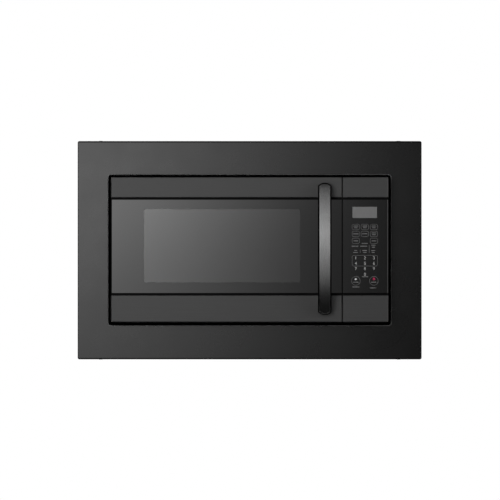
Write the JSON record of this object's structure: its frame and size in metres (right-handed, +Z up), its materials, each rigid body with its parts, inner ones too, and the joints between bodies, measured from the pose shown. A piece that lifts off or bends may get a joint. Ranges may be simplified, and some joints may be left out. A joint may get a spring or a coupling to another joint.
{
  "type": "built-in microwave oven",
  "caption": "Built-in microwave oven with a side-hinged glass door, bow handle, touch panel, turntable and a wide trim frame for a wall cabinet.",
  "frame": {"origin": "middle of the cabinet opening's front lower edge: on the shelf under the base duct, in the plane of the cabinet's front face", "axes": "X to the right seen from the front, Y into the cabinet, Z up"},
  "size_m": [0.756, 0.4865, 0.4808],
  "materials": {
    "trim_black": "satin black",
    "strip_black_steel": "brushed black stainless",
    "handle_black_steel": "brushed black stainless",
    "glass_black": "dark tinted gloss",
    "glass_control": "black gloss",
    "glass_clear": "clear",
    "baffle_black": "dead matt black",
    "plastic_black": "matt black",
    "galvanised": "zinc-coated sheet",
    "cavity_enamel": "light grey enamel",
    "screen_black": "black perforated sheet",
    "film_clear": "clear film",
    "mica": "mica",
    "core_steel": "varnished laminations",
    "copper": "enamelled copper",
    "aluminium": "plain",
    "steel": "plain bright steel",
    "plastic_white": "moulded",
    "plastic_grey": "display lens",
    "board_green": "circuit board",
    "rubber": "matt"
  },
  "bodies": {
    "oven": {"trim_frame": "trim_black", "side_rails": "galvanised", "gap_baffle": "baffle_black", "trim_screws": "trim_black", "base_duct": "galvanised", "feet": "rubber", "outer_case": "galvanised", "base_plate": "galvanised", "back_plate": "galvanised", "case_screws": "steel", "cord_bush": "plastic_black", "face_plate": "cavity_enamel", "cavity": "cavity_enamel", "waveguide": "galvanised", "waveguide_cover": "mica", "lamp_holder": "plastic_white", "cavity_lamp": "glass_clear", "cavity_thermostat": "plastic_black", "magnetron": "aluminium", "transformer_core": "core_steel", "transformer_windings": "copper", "capacitor": "aluminium", "hv_diode": "plastic_black", "fan_shroud": "plastic_white", "fan_motor": "core_steel", "filter_board": "board_green", "turntable_motor": "galvanised", "panel_top_strip": "strip_black_steel", "panel_bottom_strip": "strip_black_steel", "panel_glass": "glass_control", "hinge_upper": "galvanised", "hinge_lower": "galvanised", "latch_bracket": "plastic_white", "interlock_switches": "plastic_black", "panel_housing": "plastic_black", "display_module": "plastic_grey", "touch_foil": "plastic_black", "control_board": "board_green"},
    "door": {"door_shell": "plastic_black", "door_glass": "glass_black", "door_top_strip": "strip_black_steel", "door_bottom_strip": "strip_black_steel", "door_inner_panel": "cavity_enamel", "window_screen": "screen_black", "inner_window": "film_clear", "choke_cover": "plastic_black", "handle_bar": "handle_black_steel", "handle_feet": "plastic_black", "handle_screws": "steel", "hinge_bushes": "plastic_white", "latch_spring": "steel"},
    "latch": {"latch_slider": "plastic_black"},
    "turntable": {"motor_shaft": "steel", "drive_coupler": "plastic_white", "glass_tray": "glass_clear"},
    "ring": {"roller_ring": "plastic_white"},
    "first_roller": {"roller_1": "plastic_white"},
    "second_roller": {"roller_2": "plastic_white"},
    "third_roller": {"roller_3": "plastic_white"},
    "fan": {"fan_rotor": "plastic_white"}
  },
  "joints": [
    {"name": "door_hinge", "type": "hinge", "parent": "oven", "child": "door", "pos_m": [-0.2953, -0.0285, 0.21715], "axis": [0, 0, -1], "range_deg": [0, 100]},
    {"name": "latch_slide", "type": "slide", "parent": "door", "child": "latch", "axis": [0, 0, 1], "range_m": [0, 0.004], "stiffness_N_per_m": 400, "springref_m": -0.004, "deforming": ["latch_spring"]},
    {"name": "turntable_spin", "type": "hinge", "parent": "oven", "child": "turntable", "pos_m": [-0.05415, 0.178, 0.1208], "axis": [0, 0, 1], "continuous": true},
    {"name": "ring_spin", "type": "hinge", "parent": "oven", "child": "ring", "pos_m": [-0.05415, 0.178, 0.1135], "axis": [0, 0, 1], "continuous": true},
    {"name": "first_roller_spin", "type": "hinge", "parent": "ring", "child": "first_roller", "pos_m": [-0.05415, 0.178, 0.1135], "axis": [1, 0, 0], "continuous": true},
    {"name": "second_roller_spin", "type": "hinge", "parent": "ring", "child": "second_roller", "pos_m": [-0.05415, 0.178, 0.1135], "axis": [-0.5, 0.866, 0], "continuous": true},
    {"name": "third_roller_spin", "type": "hinge", "parent": "ring", "child": "third_roller", "pos_m": [-0.05415, 0.178, 0.1135], "axis": [-0.5, -0.866, 0], "continuous": true},
    {"name": "fan_spin", "type": "hinge", "parent": "oven", "child": "fan", "pos_m": [0.22715, 0.3352, 0.2162], "axis": [0, 1, 0], "continuous": true}
  ],
  "couplings": [
    {"joint": "ring_spin", "follows": "turntable_spin", "ratio": 0.5},
    {"joint": "first_roller_spin", "follows": "turntable_spin", "ratio": -7.5},
    {"joint": "second_roller_spin", "follows": "turntable_spin", "ratio": -7.5},
    {"joint": "third_roller_spin", "follows": "turntable_spin", "ratio": -7.5}
  ]
}
